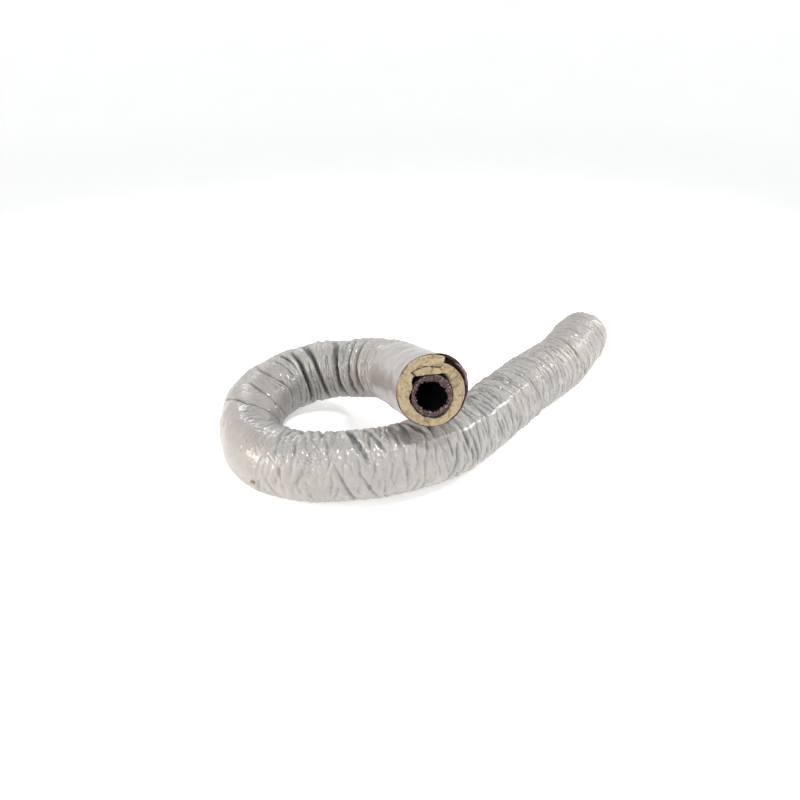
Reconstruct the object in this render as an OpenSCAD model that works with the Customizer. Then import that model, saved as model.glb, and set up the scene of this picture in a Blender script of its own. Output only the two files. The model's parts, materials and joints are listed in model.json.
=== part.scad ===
// Insulated flexible air duct, lying in one open loop with its mouth resting over its own run.
// A wire helix is laminated between the two film plies of the core, a glass-wool blanket is wrapped
// round the core, and a loose film jacket covers the blanket.
// Millimetres, +Z up. The floor is z = 0, and the origin is below the middle of the whole duct.
//
// The duct follows ROUTE from its tail end to its mouth: straight stretches and round bends, each
// starting where the last one ends. Every layer is cut at the same stations, so each stretch of each
// layer is one solid. At each stretch with bend in its name the duct flexes between two firmer runs.

/* [Core] */
// Clear diameter of the air way
bore_d = 102; // [100:1:104]
// Thickness of each film ply, with its adhesive
ply_t = 0.6; // [0.3:0.1:0.8]
// Diameter of the spring-steel wire
wire_d = 1.2; // [0.8:0.1:1.2]
// Radial room for the wire between the plies
wire_room = 2.4; // [2.4:0.1:3]
// Axial distance from one turn of the wire to the next
wire_pitch = 42; // [38:1:60]

/* [Insulation and jacket] */
// Thickness of the glass-wool blanket
wool_t = 38; // [30:1:38]
// Thickness of the jacket film with its small wrinkles
jacket_t = 0.6; // [0.3:0.1:1]
// Radial gap between one layer and the next
layer_gap = 0.2; // [0.1:0.1:0.3]

/* [Tail] */
// Length of the straight end of the tail
tail_end_l = 200; // [150:10:300]
// Centreline radius of the bend far along the tail, to the right
tail_far_r = 500; // [450:10:600]
// Turn of the far bend
tail_far_a = 12; // [8:1:14]
// Length of the straight run between the two tail bends
tail_middle_l = 150; // [120:10:200]
// Centreline radius of the bend near the loop, to the left
tail_near_r = 600; // [550:10:700]
// Turn of the near bend
tail_near_a = 5; // [5:1:8]

/* [Loop] */
// Length of the straight run beside the crossing
crossing_l = 280; // [250:10:320]
// Centreline radius of the sweep under the mouth
front_r = 510; // [500:10:560]
// Turn of the sweep under the mouth
front_a = 55; // [50:1:56]
// Length of the straight at the front of the loop
front_l = 30; // [30:5:60]
// Centreline radius of the front left bend, a quarter turn
left_r = 210; // [205:5:230]
// Length of the stretch that flexes at the left of the loop
left_l = 95; // [95:5:120]

/* [Rise to the mouth] */
// Centreline radius of the back of the loop
back_r = 215; // [210:5:225]
// Turn of the back of the loop
back_a = 102; // [100:1:103]
// Sideways tilt of the back of the loop, which starts the rise
back_tilt = 9; // [9:0.5:11]
// Centreline radius of the bend that comes round to the mouth
rise_r = 235; // [230:5:245]
// Turn of the bend that comes round to the mouth
rise_a = 62; // [58:1:64]
// Further tilt of that bend
rise_tilt = 17.5; // [17.5:0.5:20]
// Length of the stretch that flexes before the mouth
mouth_bend_l = 60; // [55:5:80]
// Length of the straight run at the mouth
mouth_l = 320; // [280:10:340]

/* [Hidden] */
// Where the tail end stands, which centres the duct over the origin
start_x = 555.9;
start_y = 458.8;
// Gap between one stretch and the next
cut_gap = 0.3;
// Sides of the round sections, and of one turn of the wire
round_fn = 64;
wire_fn = 18;
// How far the wire's centre stops short of each end of a stretch
wire_inset = wire_d / 2 + 0.2;

inner_ply_r = bore_d / 2;
outer_ply_r = inner_ply_r + ply_t + wire_room;
wire_r = outer_ply_r - layer_gap - wire_d / 2;
wool_r = outer_ply_r + ply_t + layer_gap;
jacket_r = wool_r + wool_t + layer_gap;
duct_r = jacket_r + jacket_t;

// Each stretch is [name, centreline radius, turn, tilt], or [name, 0, length, 0] where it is straight.
// A left-hand bend has a negative radius and turn. A long bend is several stretches.
ROUTE = [
    ["tail_end", 0, tail_end_l, 0],
    ["tail_far_bend", tail_far_r, tail_far_a, 0],
    ["tail_middle", 0, tail_middle_l, 0],
    ["tail_near_bend", -tail_near_r, -tail_near_a, 0],
    ["crossing", 0, crossing_l, 0],
    ["sweep_first", front_r, front_a / 2, 0],
    ["sweep_second", front_r, front_a / 2, 0],
    ["front", 0, front_l, 0],
    ["left_first", left_r, 45, 0],
    ["left_second", left_r, 45, 0],
    ["left_bend", 0, left_l, 0],
    ["back_first", back_r, back_a / 3, back_tilt],
    ["back_middle", back_r, back_a / 3, 0],
    ["back_last", back_r, back_a / 3, 0],
    ["rise_first", rise_r, rise_a / 2, rise_tilt],
    ["rise_second", rise_r, rise_a / 2, 0],
    ["mouth_bend", 0, mouth_bend_l, 0],
    ["mouth", 0, mouth_l, 0]
];

// The runs that the films and the wire are cut into, each with its first and last stretch in ROUTE
RUNS = [
    ["tail_end", 0, 0],
    ["tail_far_bend", 1, 1],
    ["tail_middle", 2, 2],
    ["tail_near_bend", 3, 3],
    ["front_loop", 4, 9],
    ["left_bend", 10, 10],
    ["back_loop", 11, 15],
    ["mouth_bend", 16, 16],
    ["mouth", 17, 17]
];

// The blanket is a node of its own over each stretch.

// Rigid moves as 4 x 4 matrices
function move(x, y, z) = [[1, 0, 0, x], [0, 1, 0, y], [0, 0, 1, z], [0, 0, 0, 1]];
function turn_z(a) = [[cos(a), -sin(a), 0, 0], [sin(a), cos(a), 0, 0], [0, 0, 1, 0], [0, 0, 0, 1]];
function turn_x(a) = [[1, 0, 0, 0], [0, cos(a), -sin(a), 0], [0, sin(a), cos(a), 0], [0, 0, 0, 1]];

// The move along share u of a stretch. The duct runs along local +X and bends towards local -Y.
function along(stretch, u) =
    stretch[1] == 0
        ? move(stretch[2] * u, 0, 0)
        : move(0, -stretch[1], 0) * turn_z(-stretch[2] * u) * move(0, stretch[1], 0);
function stretch_length(stretch) =
    stretch[1] == 0 ? stretch[2] : stretch[1] * stretch[2] * PI / 180;

// The front of the loop heads along -X, so the tail's heading follows from the bends between them.
start_heading = 180 + front_a - tail_near_a + tail_far_a;
start_frame = move(start_x, start_y, duct_r) * turn_z(start_heading);

// The frame at the start of each stretch, and the length of duct before it
FRAMES = [
    for (
        i = 0, frame = start_frame * turn_x(-ROUTE[0][3]);
        i < len(ROUTE);
        frame = frame * along(ROUTE[i], 1) * move(cut_gap, 0, 0)
            * turn_x(i + 1 < len(ROUTE) ? -ROUTE[i + 1][3] : 0),
        i = i + 1
    ) frame
];
DISTANCES = [
    for (i = 0, s = 0; i < len(ROUTE); s = s + stretch_length(ROUTE[i]) + cut_gap, i = i + 1) s
];

// One straight stretch of a round layer, along +X from the origin
module straight_ring(length, r_in, r_out) {
    rotate([0, 90, 0])
        difference() {
            cylinder(h = length, r = r_out, $fn = round_fn);
            translate([0, 0, -1]) cylinder(h = length + 2, r = r_in, $fn = round_fn);
        }
}

// One bent stretch of a round layer, leaving the origin along +X and turning towards -Y
module bent_ring(radius, turn, r_in, r_out) {
    translate([0, -radius, 0])
        rotate([0, 0, 90 - turn])
            rotate_extrude(angle = turn, $fn = round_fn)
                translate([radius, 0])
                    difference() {
                        circle(r_out, $fn = round_fn);
                        circle(r_in, $fn = round_fn);
                    }
}

// A round layer over the stretches from first to last
module layer(first, last, r_in, r_out) {
    for (i = [first : last])
        multmatrix(FRAMES[i])
            if (ROUTE[i][1] == 0)
                straight_ring(ROUTE[i][2], r_in, r_out);
            else if (ROUTE[i][1] > 0)
                bent_ring(ROUTE[i][1], ROUTE[i][2], r_in, r_out);
            else
                mirror([0, 1, 0]) bent_ring(-ROUTE[i][1], -ROUTE[i][2], r_in, r_out);
}

// Corner c of the wire's square section, at share u of the wire along stretch i
function wire_corner(i, u, c) =
    let (
        length = stretch_length(ROUTE[i]),
        x = wire_inset + u * (length - 2 * wire_inset),
        turn = 360 * (DISTANCES[i] + x) / wire_pitch,
        r = wire_r + wire_d / 2 * cos(90 * c),
        corner = [wire_d / 2 * sin(90 * c), r * cos(turn), r * sin(turn), 1],
        p = FRAMES[i] * along(ROUTE[i], x / length) * corner
    ) [p[0], p[1], p[2]];

// The wire over all the stretches of one run
module wire(run) {
    for (i = [run[1] : run[2]]) {
        n = ceil(wire_fn * stretch_length(ROUTE[i]) / wire_pitch);
        polyhedron(
            points = [for (k = [0 : n]) for (c = [0 : 3]) wire_corner(i, k / n, c)],
            faces = concat(
                [[0, 1, 2, 3], [4 * n + 3, 4 * n + 2, 4 * n + 1, 4 * n]],
                [for (k = [0 : n - 1]) for (c = [0 : 3])
                    [4 * k + c, 4 * k + 4 + c, 4 * k + 4 + (c + 1) % 4]],
                [for (k = [0 : n - 1]) for (c = [0 : 3])
                    [4 * k + c, 4 * k + 4 + (c + 1) % 4, 4 * k + (c + 1) % 4]]
            )
        );
    }
}

module inner_ply(run) {
    color("rosybrown") layer(run[1], run[2], inner_ply_r, inner_ply_r + ply_t);
}

module wire_helix(run) {
    color("dimgray") wire(run);
}

module outer_ply(run) {
    color("thistle") layer(run[1], run[2], outer_ply_r, outer_ply_r + ply_t);
}

module jacket(run) {
    color("gainsboro") layer(run[1], run[2], jacket_r, duct_r);
}

// The blanket round stretch i
module insulation(i) {
    color("khaki") layer(i, i, wool_r, wool_r + wool_t);
}

for (run = RUNS) {
    inner_ply(run);
    wire_helix(run);
    outer_ply(run);
    jacket(run);
}
for (i = [0 : len(ROUTE) - 1])
    insulation(i);
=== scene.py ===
"""Looks of the insulated flexible air duct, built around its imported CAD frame. Metres, +Z up.

Every layer of the duct is laid along one centreline. The jacket is a thin film whose slack is let
buckle over the blanket by a small position-based simulation, and the other layers follow it.
"""
import json
import math

import bpy
import numpy as np
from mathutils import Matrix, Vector


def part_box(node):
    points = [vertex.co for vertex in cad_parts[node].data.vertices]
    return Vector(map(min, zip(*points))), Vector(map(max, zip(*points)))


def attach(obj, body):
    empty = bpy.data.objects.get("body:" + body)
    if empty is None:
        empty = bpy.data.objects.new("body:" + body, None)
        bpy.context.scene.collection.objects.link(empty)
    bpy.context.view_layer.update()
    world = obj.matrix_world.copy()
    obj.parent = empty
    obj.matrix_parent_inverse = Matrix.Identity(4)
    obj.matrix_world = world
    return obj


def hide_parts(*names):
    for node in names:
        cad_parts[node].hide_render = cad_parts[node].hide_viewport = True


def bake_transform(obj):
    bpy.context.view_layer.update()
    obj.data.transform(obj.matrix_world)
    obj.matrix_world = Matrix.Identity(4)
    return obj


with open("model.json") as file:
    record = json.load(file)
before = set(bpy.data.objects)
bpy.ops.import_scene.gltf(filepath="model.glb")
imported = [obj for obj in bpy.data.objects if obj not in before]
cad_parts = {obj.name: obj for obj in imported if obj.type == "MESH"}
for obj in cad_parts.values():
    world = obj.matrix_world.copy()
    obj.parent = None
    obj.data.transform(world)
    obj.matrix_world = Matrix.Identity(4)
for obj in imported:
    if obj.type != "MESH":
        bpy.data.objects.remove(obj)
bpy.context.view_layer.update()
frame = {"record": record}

MM = 0.001


def add_object(name, data):
    made = bpy.data.objects.new(name, data)
    bpy.context.scene.collection.objects.link(made)
    return made


# ---------------------------------------------------------------- camera
def make_camera():
    data = bpy.data.cameras.new("camera")
    data.sensor_width = 36.0
    data.lens = 34.4
    data.clip_end = 50.0
    camera = add_object("camera", data)
    camera.location = (-0.107, -2.116, 1.200)
    camera.rotation_euler = (math.radians(62.0), 0.0, 0.0)
    bpy.context.scene.camera = camera


make_camera()


# ---------------------------------------------------------------- sizes, from the frame
def level_radius(node):
    """Outer radius of a layer, from its node along the level end of the tail."""
    low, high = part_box(node)
    return (high[2] - low[2]) / 2


FILM_R = level_radius("jacket_tail_end")
WOOL_R = level_radius("insulation_tail_end")
CORE_R = level_radius("outer_ply_tail_end")
LINER_R = level_radius("inner_ply_tail_end")
WIRE_R = level_radius("wire_helix_tail_end")
MOUNTS = {mount["name"]: mount for mount in frame["record"]["mounts"]}
BORE_R = MOUNTS["mouth_bore"]["dims"]["r_mm"] * MM
WIRE_D = 1.2 * MM
WIRE_PITCH = 42 * MM
CUT_GAP = 0.3 * MM
MOUNT_INSET = 5 * MM
# Least height of the film over the floor
FLOOR_GAP = 0.5 * MM

# ---------------------------------------------------------------- the centreline
# [name, centreline radius, turn, tilt] or [name, 0, length, 0], in metres and degrees, from the tail
# end to the mouth, as in the CAD
ROUTE = [
    ["tail_end", 0, 0.200, 0],
    ["tail_far_bend", 0.500, 12, 0],
    ["tail_middle", 0, 0.150, 0],
    ["tail_near_bend", -0.600, -5, 0],
    ["crossing", 0, 0.280, 0],
    ["sweep_first", 0.510, 27.5, 0],
    ["sweep_second", 0.510, 27.5, 0],
    ["front", 0, 0.030, 0],
    ["left_first", 0.210, 45, 0],
    ["left_second", 0.210, 45, 0],
    ["left_bend", 0, 0.095, 0],
    ["back_first", 0.215, 34, 9],
    ["back_middle", 0.215, 34, 0],
    ["back_last", 0.215, 34, 0],
    ["rise_first", 0.235, 31, 17.5],
    ["rise_second", 0.235, 31, 0],
    ["mouth_bend", 0, 0.060, 0],
    ["mouth", 0, 0.320, 0],
]
# How the film lies on each stretch: its slack, the extra slack at the inner side of the bend, and in
# millimetres the depth of its fine creases, its broad creases and its creases at the inner side
LIE = {
    "tail_end": (0.12, 0.00, 1.8, 0.8, 0.0),
    "tail_far_bend": (0.13, 0.05, 1.8, 1.0, 0.5),
    "tail_middle": (0.13, 0.00, 1.8, 1.0, 0.0),
    "tail_near_bend": (0.13, 0.05, 1.8, 1.0, 0.5),
    "crossing": (0.11, 0.00, 1.7, 0.8, 0.0),
    "sweep_first": (0.06, 0.10, 1.0, 0.9, 0.6),
    "sweep_second": (0.05, 0.16, 0.6, 1.4, 1.2),
    "front": (0.05, 0.16, 0.5, 1.6, 1.5),
    "left_first": (0.02, 0.26, 0.3, 0.9, 2.0),
    "left_second": (0.02, 0.24, 0.3, 0.8, 2.0),
    "left_bend": (0.04, 0.15, 0.3, 1.0, 1.5),
    "back_first": (0.04, 0.26, 0.4, 1.1, 2.5),
    "back_middle": (0.07, 0.28, 0.6, 1.7, 3.0),
    "back_last": (0.08, 0.28, 0.7, 2.1, 3.0),
    "rise_first": (0.08, 0.26, 0.7, 2.1, 3.0),
    "rise_second": (0.07, 0.22, 0.7, 1.9, 2.5),
    "mouth_bend": (0.06, 0.10, 0.6, 1.2, 1.0),
    "mouth": (0.015, 0.00, 0.25, 0.3, 0.0),
}


def shift(x, y, z):
    m = np.eye(4)
    m[:3, 3] = x, y, z
    return m


def turn_x(angle):
    c, s = math.cos(math.radians(angle)), math.sin(math.radians(angle))
    return np.array([[1, 0, 0, 0], [0, c, -s, 0], [0, s, c, 0], [0, 0, 0, 1.0]])


def turn_z(angle):
    c, s = math.cos(math.radians(angle)), math.sin(math.radians(angle))
    return np.array([[c, -s, 0, 0], [s, c, 0, 0], [0, 0, 1, 0], [0, 0, 0, 1.0]])


def even_angles(count):
    """count angles evenly spaced round a circle, in radians."""
    return np.arange(count) * 2 * math.pi / count


def stretch_length(stretch):
    return stretch[2] if stretch[1] == 0 else stretch[1] * math.radians(stretch[2])


def along(stretch, share):
    if stretch[1] == 0:
        return shift(stretch[2] * share, 0, 0)
    return shift(0, -stretch[1], 0) @ turn_z(-stretch[2] * share) @ shift(0, stretch[1], 0)


def route_frames():
    """The frame at the start of each stretch, the tilt so far, and the distance from the tail end."""
    tail = MOUNTS["tail_bore"]
    outward = np.array(tail["axis"])
    start = np.array(tail["pos_m"]) + outward * MOUNT_INSET
    m = shift(*start) @ turn_z(math.degrees(math.atan2(-outward[1], -outward[0])))
    frames, tilts, distances = [], [], []
    tilt = distance = 0.0
    for stretch in ROUTE:
        tilt += stretch[3]
        m = m @ turn_x(-stretch[3])
        frames.append(m)
        tilts.append(tilt)
        distances.append(distance)
        m = m @ along(stretch, 1) @ shift(CUT_GAP, 0, 0)
        distance += stretch_length(stretch) + CUT_GAP
    return frames, tilts, distances, distance - CUT_GAP


FRAMES, TILTS, DISTANCES, LENGTH = route_frames()
STARTS = {stretch[0]: d for stretch, d in zip(ROUTE, DISTANCES)}
ENDS = {stretch[0]: d + stretch_length(stretch) for stretch, d in zip(ROUTE, DISTANCES)}


class Stations:
    """Centres and axes of the duct at the given distances. Angles round it do not twist: 0 is the
    side away from the middle of the loop, 90 is up and 180 faces the middle of the loop."""

    def __init__(self, distances):
        self.s = np.asarray(distances, dtype=float)
        self.stretch = np.clip(np.searchsorted(DISTANCES, self.s, side="right") - 1, 0, len(ROUTE) - 1)
        rows = []
        for s, i in zip(self.s, self.stretch):
            share = (s - DISTANCES[i]) / stretch_length(ROUTE[i])
            if ROUTE[i][1] != 0:
                share = min(share, 1.0)
            rows.append(FRAMES[i] @ along(ROUTE[i], share) @ turn_x(TILTS[i]))
        rows = np.array(rows)
        self.centre, self.ahead = rows[:, :3, 3], rows[:, :3, 0]
        self.side, self.above = rows[:, :3, 1], rows[:, :3, 2]

    def around(self, angles):
        """Unit vectors out from the centre, for each station and each angle in radians."""
        return (self.side[:, None] * np.cos(angles)[None, :, None]
                + self.above[:, None] * np.sin(angles)[None, :, None])


# ---------------------------------------------------------------- the jacket film
ROW_STEP = 2.0 * MM
ROWS = int(round(LENGTH / ROW_STEP)) + 1
COLUMNS = 160
S = np.linspace(0, LENGTH, ROWS)
PHI = even_angles(COLUMNS)
LINE = Stations(S)
OUT = LINE.around(PHI)
REST = LINE.centre[:, None] + OUT * FILM_R
rng = np.random.default_rng(11)

# Folds drawn into the film: distance and angle of one end, of the other end, depth and half width.
# Angles in degrees, the rest in metres.
FOLDS = [
    # the back of the loop, where deep folds cross the inner side
    (1.963, 82, 1.975, 222, 0.012, 0.008),
    (2.008, 66, 2.064, 226, 0.011, 0.008),
    (2.104, 64, 2.148, 226, 0.011, 0.009),
    (2.132, 118, 2.140, 168, 0.005, 0.006),
    (2.190, 60, 2.200, 215, 0.006, 0.008),
    (2.234, 56, 2.272, 226, 0.013, 0.009),
    (2.334, 54, 2.430, 205, 0.012, 0.009),
    (2.290, 50, 2.330, 150, 0.006, 0.008),
    (1.920, 60, 1.945, 140, 0.004, 0.005),
    (1.885, 70, 1.915, 150, 0.003, 0.005),
    # the front, from the inner edge down the outer side
    (1.238, 150, 1.172, 28, 0.006, 0.006),
    (1.222, 130, 1.196, 45, 0.004, 0.005),
    (1.190, 150, 1.132, 45, 0.005, 0.005),
    (1.402, 190, 1.396, 110, 0.006, 0.006),
    (1.346, 190, 1.340, 95, 0.006, 0.006),
    (1.288, 180, 1.284, 85, 0.005, 0.005),
    (1.105, 170, 1.088, 85, 0.006, 0.006),
    (1.072, 170, 1.024, 66, 0.007, 0.006),
    (1.020, 165, 0.996, 60, 0.005, 0.006),
    (1.248, 32, 1.206, -48, 0.0025, 0.005),
    (1.200, 24, 1.150, -48, 0.0025, 0.005),
    (1.362, 36, 1.374, -4, 0.002, 0.005),
    # dents in the outline of the tail
    (0.352, 80, 0.345, 215, 0.008, 0.010),
    (0.650, 85, 0.655, 215, 0.008, 0.010),
    (0.690, -75, 0.684, 15, 0.006, 0.009),
    (0.285, 20, 0.262, 120, 0.005, 0.006),
]
GATHERS = [
    # runs of close folds: first distance, last distance, from angle, to angle, spacing, depth
    (1.858, 1.950, 140, 228, 0.018, 0.006),
    (1.985, 2.060, 165, 232, 0.020, 0.005),
    (1.440, 1.590, 150, 220, 0.024, 0.006),
]


def ripples(spacing, breadth, slope=0.0, spread=0.35):
    """A random field of ripples about spacing apart along the duct and breadth long round it."""
    across = np.fft.fftfreq(ROWS, ROW_STEP)[:, None]
    round_ = np.fft.fftfreq(COLUMNS, 2 * math.pi * FILM_R / COLUMNS)[None, :]
    band = np.exp(-((np.abs(across) * spacing - 1) / spread) ** 2
                  - ((round_ + slope * across) * breadth) ** 2)
    field = np.fft.ifft2(np.fft.fft2(rng.standard_normal((ROWS, COLUMNS))) * band).real
    return field / field.std()


def creases(spacing, breadth, slope):
    """Puffs of film between sharp creases, from -1 in a crease to 0 on a puff, leaning both ways."""
    puffs = [np.clip(np.abs(ripples(2 * spacing, breadth, way * slope)) / 0.8, 0, 1) ** 0.7
             for way in (-1, 1)]
    return np.minimum(*puffs) - 1


def smooth(field, length):
    """field averaged along the duct over about length."""
    reach = np.arange(-3 * length, 3 * length + ROW_STEP, ROW_STEP)
    weight = np.exp(-(reach / length) ** 2)
    weight /= weight.sum()
    edge = len(reach) // 2
    padded = np.pad(field, [(edge, len(reach) - 1 - edge)] + [(0, 0)] * (field.ndim - 1), mode="edge")
    return sum(w * padded[k:k + len(field)] for k, w in enumerate(weight))


def wrap(angle):
    return (angle + math.pi) % (2 * math.pi) - math.pi


def span(first, rise, last, fall):
    """1 from first to last along the duct, with a rise and a fall of the given lengths inside them."""
    return np.clip((S - first) / rise, 0, 1) * np.clip((last - S) / fall, 0, 1)


def fold_field(s0, angle0, s1, angle1, depth, width):
    """How deep one straight fold is at each point of the film."""
    angle0, angle1 = math.radians(angle0), math.radians(angle1)
    middle, half = (angle0 + angle1) / 2, (angle1 - angle0) / 2
    share = wrap(PHI - middle) / half
    path = (s0 + s1) / 2 + share * (s1 - s0) / 2
    taper = np.clip(1 - np.abs(share) ** 3, 0, 1)
    return depth * taper[None, :] * np.exp(-((S[:, None] - path[None, :]) / width) ** 2)


def all_folds():
    depth = np.zeros((ROWS, COLUMNS))
    for fold in FOLDS:
        depth = np.maximum(depth, fold_field(*fold))
    for first, last, angle0, angle1, spacing, deep in GATHERS:
        for s in np.arange(first, last, spacing):
            s0 = s + rng.uniform(-0.2, 0.2) * spacing
            s1 = s + rng.uniform(-0.4, 0.4) * spacing
            a0, a1 = angle0 + rng.uniform(-12, 12), angle1 + rng.uniform(-12, 12)
            depth = np.maximum(depth, fold_field(s0, a0, s1, a1, deep * rng.uniform(0.6, 1.1), 0.005))
    return depth


def pull(a, b, rest, share):
    """Moves the points of a and b, both views of the film, towards rest apart."""
    gap = b - a
    length = np.sqrt((gap * gap).sum(-1, keepdims=True))
    gap *= 0.5 * share * (1 - rest / np.maximum(length, 1e-6))
    a += gap
    b -= gap


def keep_order(a, b, ahead, least):
    """Keeps each row of b at least a little ahead of its row of a, so that the film never laps."""
    short = np.clip(least - ((b - a) * ahead).sum(-1, keepdims=True), 0, None) * ahead * 0.5
    a -= short
    b += short


# How the film is laid: its rounds, the share of its speed that it keeps and its most speed, how much
# of a wrong length is put right in one round along, round and across its grid, and how close two rows
# may come, as a share of their distance
ROUNDS, QUICK_ROUNDS = 300, 60
KEPT_SPEED, MOST_SPEED = 0.85, 0.8 * MM
PULL_ALONG, PULL_ROUND, PULL_ACROSS = 0.9, 0.6, 0.35
LEAST_SHARE = 0.22
# How strongly it is kept smooth, drawn to its home, drawn back from too far out and held lengthwise
SMOOTHING, HOME_PULL, STAND_OFF_PULL, LENGTH_HOLD = 0.04, 0.03, 0.5, 0.012
# The step round the film, a little spare, how far the blanket lies inside the film, and how far the
# film may stand off its home
GIRTH = 2 * math.pi * FILM_R / COLUMNS * 1.006
BLANKET_INSET = 4.0 * MM
STAND_OFF = 3.0 * MM
# The stretch of film that the mouth's run rests on, and the gap between the two
UNDER_MOUTH = slice(int(0.62 / ROW_STEP), int(1.12 / ROW_STEP))
MOUTH_GAP = 1.2 * MM


def lay_film():
    """Lets the film's slack buckle over the blanket. Returns the film's points."""
    stretch = LINE.stretch
    inner = np.array([0.0 if ROUTE[i][1] < 0 else math.pi - math.radians(TILTS[i]) for i in stretch])
    lie = smooth(np.array([LIE[ROUTE[i][0]] for i in stretch]), 0.02)
    slack, gather, fine, broad, inside = (lie[:, k][:, None] for k in range(5))
    facing = np.clip(np.cos(PHI[None, :] - inner[:, None]), 0, None)
    excess = slack + gather * facing ** 1.3
    folds = all_folds()
    puckers = (fine * creases(0.0125, 0.045, 0.20) + broad * creases(0.030, 0.070, 0.45)
               + inside * facing ** 2 * creases(0.022, 0.080, 0.20)) * MM
    lumps = ripples(0.120, 0.110, 0.0, 0.8) * MM
    ridge = np.exp(-(wrap(PHI - math.radians(50)) / 0.16) ** 2)[None, :]
    ridge = ridge * smooth(span(0.45, 0.1, 1.12, 0.06), 0.03)[:, None]

    blanket = FILM_R - BLANKET_INSET + lumps * 0.9 + ridge * 2.6 * MM - folds + puckers
    home = FILM_R + lumps * 0.9 + ridge * 2.4 * MM - 1.1 * folds + 1.1 * puckers
    seed = rng.standard_normal((ROWS, COLUMNS)) * 0.1 * MM

    centre = LINE.centre[:, None]
    ahead = np.broadcast_to(LINE.ahead[:, None], OUT.shape)
    film = (centre + OUT * (home + seed)[..., None]).astype(np.float32)
    out = OUT.astype(np.float32)
    ahead = ahead.astype(np.float32)
    centre = centre.astype(np.float32)
    blanket = blanket.astype(np.float32)[..., None]
    home = home.astype(np.float32)[..., None]
    start = film.copy()

    long_rest = np.linalg.norm(REST[1:] - REST[:-1], axis=-1)[..., None]
    long_rest = (long_rest * (1 + (excess[1:] + excess[:-1]) / 2)[..., None]).astype(np.float32)
    slant = np.sqrt(long_rest ** 2 + GIRTH ** 2)
    least = (long_rest * LEAST_SHARE).astype(np.float32)
    velocity = np.zeros_like(film)
    hole = MOUNTS["mouth_bore"]
    over_axis = np.array(hole["axis"], dtype=np.float32)
    over_end = np.array(hole["pos_m"], dtype=np.float32)
    # columns next to each other, one way round and then the other, each with the step that closes it
    early, late, first, last = np.s_[:-1], np.s_[1:], np.s_[:1], np.s_[-1:]
    diagonals = ((early, late), (last, first), (late, early), (first, last))

    for _ in range(ROUNDS):
        before = film.copy()
        film += velocity * KEPT_SPEED
        for k in (0, 1):
            pull(film[k:-1:2], film[k + 1::2], long_rest[k::2], PULL_ALONG)
            keep_order(film[k:-1:2], film[k + 1::2], ahead[k:-1:2], least[k::2])
        for k in (0, 1):
            for a, b in diagonals:
                pull(film[k:-1:2, a], film[k + 1::2, b], slant[k::2, a], PULL_ACROSS)
        pull(film[:, 0::2], film[:, 1::2], GIRTH, PULL_ROUND)
        pull(film[:, 1:-1:2], film[:, 2::2], GIRTH, PULL_ROUND)
        pull(film[:, -1:], film[:, :1], GIRTH, PULL_ROUND)
        film[1:-1] += SMOOTHING * (0.5 * (film[2:] + film[:-2]) - film[1:-1])
        # the blanket, the outer limit and the floor
        offset = film - centre
        radius = (offset * out).sum(-1, keepdims=True)
        film += out * (np.clip(blanket - radius, 0, None) + HOME_PULL * (home - radius)
                       - np.clip(radius - (home + STAND_OFF), 0, None) * STAND_OFF_PULL)
        film += ahead * (-LENGTH_HOLD * ((film - start) * ahead).sum(-1, keepdims=True))
        film[..., 2] = np.maximum(film[..., 2], FLOOR_GAP)
        # the run that rests over this one
        gap = film[UNDER_MOUTH] - over_end
        gap -= (gap @ over_axis)[..., None] * over_axis
        away = np.sqrt((gap * gap).sum(-1, keepdims=True))
        film[UNDER_MOUTH] += gap / away * np.clip(FILM_R + MOUTH_GAP - away, 0, None)
        velocity = np.clip(film - before, -MOST_SPEED, MOST_SPEED)
    return film.astype(float)


FILM = lay_film()


def film_radius():
    """How far each point of the film is from the duct's centre."""
    return ((FILM - LINE.centre[:, None]) * OUT).sum(-1)


# ---------------------------------------------------------------- sharp creases in the film
# The long creases that fan out from the kink at the left: the distance and angle of points along
# each, its depth and half width
FAN = [
    ([(1.700, 38), (1.665, 60), (1.630, 80), (1.602, 100), (1.590, 120), (1.602, 150), (1.655, 186)],
     0.015, 0.0055),
    ([(1.748, 84), (1.710, 100), (1.690, 120), (1.686, 150), (1.722, 180), (1.770, 206)], 0.012, 0.0050),
    ([(1.684, 138), (1.652, 178)], 0.012, 0.0045),
    ([(1.535, 78), (1.490, 105), (1.500, 130), (1.560, 158)], 0.004, 0.0060),
    ([(1.850, 62), (1.822, 90), (1.815, 120), (1.840, 150), (1.870, 170)], 0.007, 0.0050),
]
# Dents in the outline of the back, as in FOLDS but pressed in only once the film is laid
DENTS = [
    (2.150, 44, 2.165, 140, 0.006, 0.014),
    (2.300, 40, 2.310, 130, 0.005, 0.016),
    (2.020, 50, 2.030, 120, 0.004, 0.014),
]
# Broad places where the whole blanket is pressed in: distance, angle, depth, half length, half angle
PRESSES = [
    (1.570, 5, 0.018, 0.17, 80),
    (2.120, 85, 0.012, 0.05, 65),
]
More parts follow.
